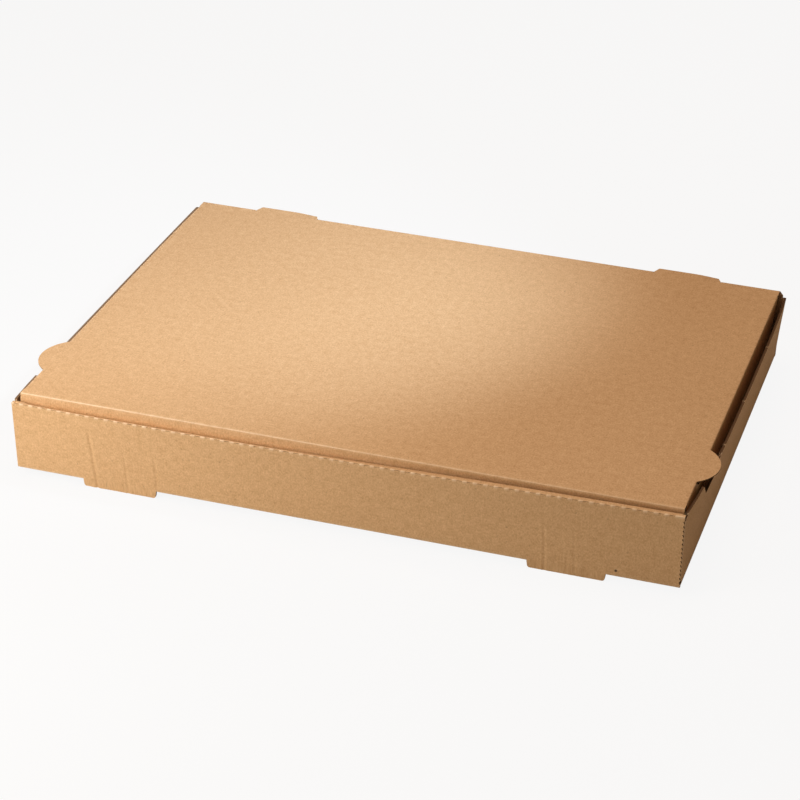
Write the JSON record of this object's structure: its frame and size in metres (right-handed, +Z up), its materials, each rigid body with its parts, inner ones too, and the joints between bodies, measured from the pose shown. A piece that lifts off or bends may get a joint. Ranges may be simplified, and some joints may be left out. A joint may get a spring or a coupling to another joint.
{
  "type": "pizza box",
  "caption": "Low rectangular pizza box folded from brown corrugated board, closed, with a hinged lid, half-moon finger tabs, a rolled front wall, feet and back vents.",
  "frame": {"origin": "on the floor below the middle of the box, measured over the half-moon tabs, the back tongues and the feet", "axes": "+X along the long front to the right, +Y from the front to the back where the lid is hinged, +Z up"},
  "size_m": [0.476, 0.336, 0.0594],
  "materials": {
    "kraft_board": "matte unprinted brown corrugated board"
  },
  "bodies": {
    "tray": {"tray": "kraft_board"},
    "lid": {"lid": "kraft_board"}
  },
  "joints": [
    {"name": "lid_hinge", "type": "hinge", "parent": "tray", "child": "lid", "pos_m": [0, 0.162, 0.0594], "axis": [-1, 0, 0], "range_deg": [0, 180]}
  ]
}
